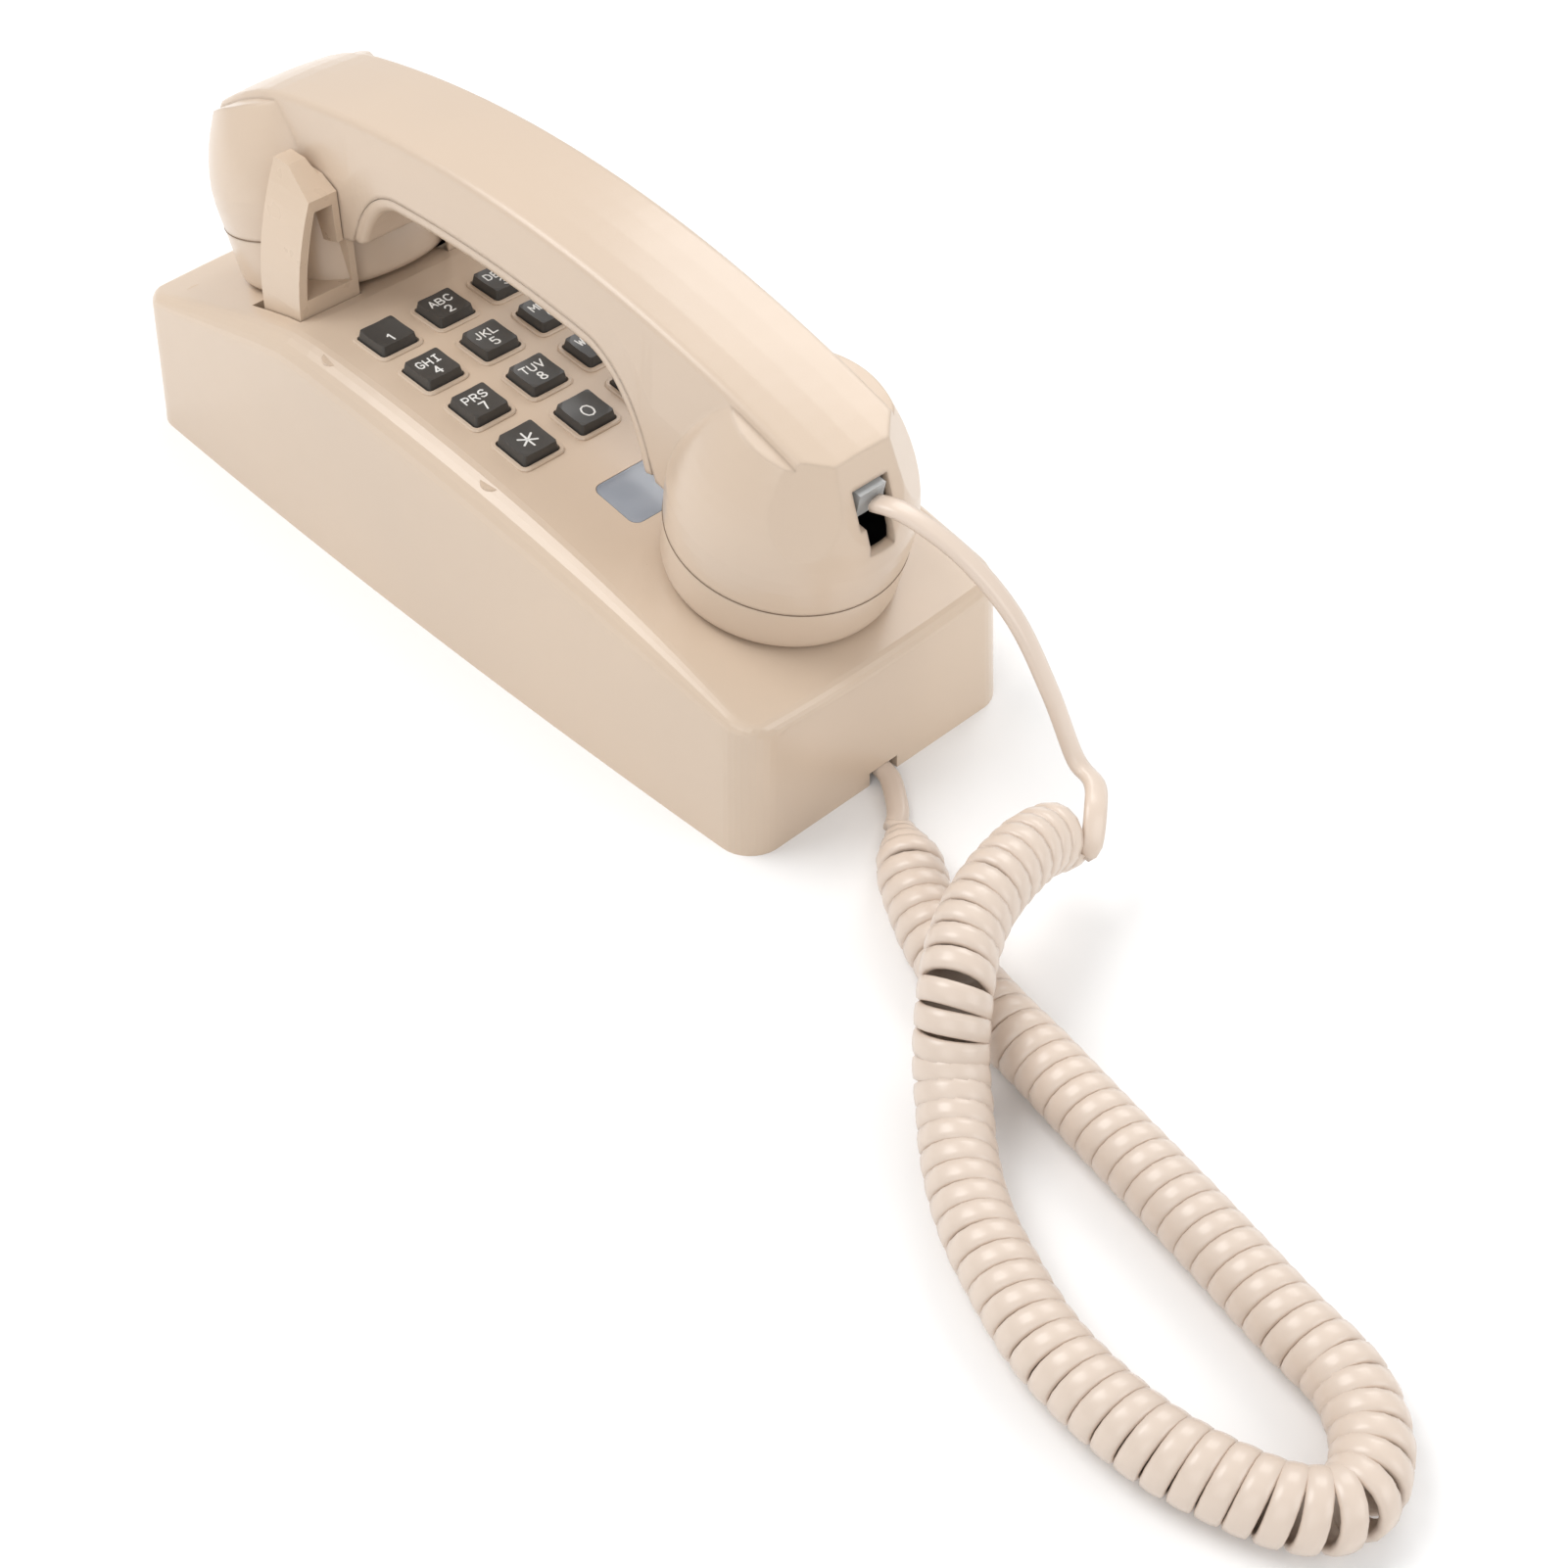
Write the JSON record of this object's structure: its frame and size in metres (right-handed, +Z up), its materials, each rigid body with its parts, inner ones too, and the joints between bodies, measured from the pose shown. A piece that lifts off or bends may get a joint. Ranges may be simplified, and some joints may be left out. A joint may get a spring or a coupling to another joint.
{
  "type": "corded wall telephone",
  "caption": "Corded push-button wall telephone lying on its back, handset on its hook, with a separate curly handset cord, sprung keys and a bell ringer inside",
  "frame": {"origin": "middle of the back face of the telephone without its free cord, on the surface it lies on", "axes": "X across the width, +Y towards the hook end, +Z up from the back towards the keys"},
  "size_m": [0.146, 0.4357, 0.1093],
  "materials": {
    "case_plastic": "smooth moulded beige plastic, semi-gloss",
    "handset_plastic": "smooth moulded beige plastic, semi-gloss",
    "hook_plastic": "smooth moulded beige plastic, semi-gloss",
    "key_plastic": "dark grey two-shot keys with pale legends",
    "window_plastic": "clear smooth window",
    "card_paper": "white card",
    "plate_steel": "zinc-plated pressed steel",
    "screw_steel": "zinc-plated steel",
    "board": "green circuit board",
    "black_plastic": "black moulded plastic",
    "frame_plastic": "dark moulded frame",
    "mat_rubber": "grey silicone rubber",
    "gong_metal": "brass-plated steel",
    "coil_copper": "enamelled copper winding",
    "capacitor_film": "dipped film and electrolytic cans",
    "spring_steel": "spring wire",
    "capsule": "metal capsule",
    "weight_steel": "plain steel slug",
    "jack_plastic": "ivory socket body",
    "plug_plastic": "clear moulded plug",
    "wheel_plastic": "beige thumbwheel",
    "cord_vinyl": "beige flexible cord jacket"
  },
  "bodies": {
    "base": {"housing": "case_plastic", "back_plate": "plate_steel", "plate_screws": "screw_steel", "number_card": "card_paper", "card_window": "window_plastic", "keypad_frame": "frame_plastic", "key_mat": "mat_rubber", "keypad_board": "board", "board_screws": "screw_steel", "hook_bracket": "plate_steel", "hook_pin": "screw_steel", "hook_spring": "spring_steel", "switch_block": "black_plastic", "main_board": "board", "line_transformer": "weight_steel", "capacitors": "capacitor_film", "base_jack": "jack_plastic", "line_jack": "jack_plastic", "ringer_frame": "plate_steel", "ringer_coil": "coil_copper", "left_gong": "gong_metal", "right_gong": "gong_metal", "gong_screws": "screw_steel", "clapper_pin": "screw_steel", "wheel_bracket": "plate_steel", "base_plug": "plug_plastic", "cord_tail_upper": "cord_vinyl", "cord_coil": "cord_vinyl", "cord_tail_lower": "cord_vinyl"},
    "handset": {"handset_back": "handset_plastic", "handset_strip": "handset_plastic", "ear_cap": "handset_plastic", "mouth_cap": "handset_plastic", "receiver": "capsule", "transmitter": "capsule", "contact_cup": "black_plastic", "handset_weight": "weight_steel", "handset_jack": "jack_plastic", "handset_screws": "screw_steel", "handset_plug": "plug_plastic"},
    "hook": {"hook_fork": "hook_plastic"},
    "switch": {"switch_plunger": "jack_plastic"},
    "clapper": {"clapper": "gong_metal"},
    "wheel": {"volume_wheel": "wheel_plastic"},
    "button_1": {"key_1": "key_plastic"},
    "button_2": {"key_2": "key_plastic"},
    "button_3": {"key_3": "key_plastic"},
    "button_4": {"key_4": "key_plastic"},
    "button_5": {"key_5": "key_plastic"},
    "button_6": {"key_6": "key_plastic"},
    "button_7": {"key_7": "key_plastic"},
    "button_8": {"key_8": "key_plastic"},
    "button_9": {"key_9": "key_plastic"},
    "button_star": {"key_star": "key_plastic"},
    "button_0": {"key_0": "key_plastic"},
    "button_hash": {"key_hash": "key_plastic"}
  },
  "joints": [
    {"name": "handset_lift", "type": "slide", "parent": "base", "child": "handset", "axis": [0, 0.6, 0.8], "range_m": [0, 0.12]},
    {"name": "hook_swing", "type": "hinge", "parent": "base", "child": "hook", "pos_m": [0, 0.06, 0.017], "axis": [-1, 0, 0], "range_deg": [0, 6], "stiffness_Nm_per_rad": 0.2, "springref_deg": 6.88},
    {"name": "switch_press", "type": "slide", "parent": "base", "child": "switch", "axis": [0, 0, -1], "range_m": [0, 0.0017], "stiffness_N_per_m": 200, "springref_m": -0.001},
    {"name": "clapper_swing", "type": "hinge", "parent": "base", "child": "clapper", "pos_m": [0, -0.07, 0.02], "axis": [0, 0, 1], "range_deg": [-3, 3], "stiffness_Nm_per_rad": 0.002},
    {"name": "volume_turn", "type": "hinge", "parent": "base", "child": "wheel", "pos_m": [0.0355, -0.05, 0.012], "axis": [0, 0, 1], "range_deg": [-120, 120]},
    {"name": "key_1_press", "type": "slide", "parent": "base", "child": "button_1", "axis": [0, 0.0221, -0.9998], "range_m": [0, 0.0015], "stiffness_N_per_m": 300, "springref_m": -0.001},
    {"name": "key_2_press", "type": "slide", "parent": "base", "child": "button_2", "axis": [0, 0.0221, -0.9998], "range_m": [0, 0.0015], "stiffness_N_per_m": 300, "springref_m": -0.001},
    {"name": "key_3_press", "type": "slide", "parent": "base", "child": "button_3", "axis": [0, 0.0221, -0.9998], "range_m": [0, 0.0015], "stiffness_N_per_m": 300, "springref_m": -0.001},
    {"name": "key_4_press", "type": "slide", "parent": "base", "child": "button_4", "axis": [0, 0.0497, -0.9988], "range_m": [0, 0.0015], "stiffness_N_per_m": 300, "springref_m": -0.001},
    {"name": "key_5_press", "type": "slide", "parent": "base", "child": "button_5", "axis": [0, 0.0497, -0.9988], "range_m": [0, 0.0015], "stiffness_N_per_m": 300, "springref_m": -0.001},
    {"name": "key_6_press", "type": "slide", "parent": "base", "child": "button_6", "axis": [0, 0.0497, -0.9988], "range_m": [0, 0.0015], "stiffness_N_per_m": 300, "springref_m": -0.001},
    {"name": "key_7_press", "type": "slide", "parent": "base", "child": "button_7", "axis": [0, 0.0772, -0.997], "range_m": [0, 0.0015], "stiffness_N_per_m": 300, "springref_m": -0.001},
    {"name": "key_8_press", "type": "slide", "parent": "base", "child": "button_8", "axis": [0, 0.0772, -0.997], "range_m": [0, 0.0015], "stiffness_N_per_m": 300, "springref_m": -0.001},
    {"name": "key_9_press", "type": "slide", "parent": "base", "child": "button_9", "axis": [0, 0.0772, -0.997], "range_m": [0, 0.0015], "stiffness_N_per_m": 300, "springref_m": -0.001},
    {"name": "key_star_press", "type": "slide", "parent": "base", "child": "button_star", "axis": [0, 0.1045, -0.9945], "range_m": [0, 0.0015], "stiffness_N_per_m": 300, "springref_m": -0.001},
    {"name": "key_0_press", "type": "slide", "parent": "base", "child": "button_0", "axis": [0, 0.1045, -0.9945], "range_m": [0, 0.0015], "stiffness_N_per_m": 300, "springref_m": -0.001},
    {"name": "key_hash_press", "type": "slide", "parent": "base", "child": "button_hash", "axis": [0, 0.1045, -0.9945], "range_m": [0, 0.0015], "stiffness_N_per_m": 300, "springref_m": -0.001}
  ],
  "couplings": [
    {"joint": "hook_swing", "follows": "handset_lift", "rad_per_m": 0.8718},
    {"joint": "switch_press", "follows": "handset_lift", "ratio": 0.0133}
  ]
}
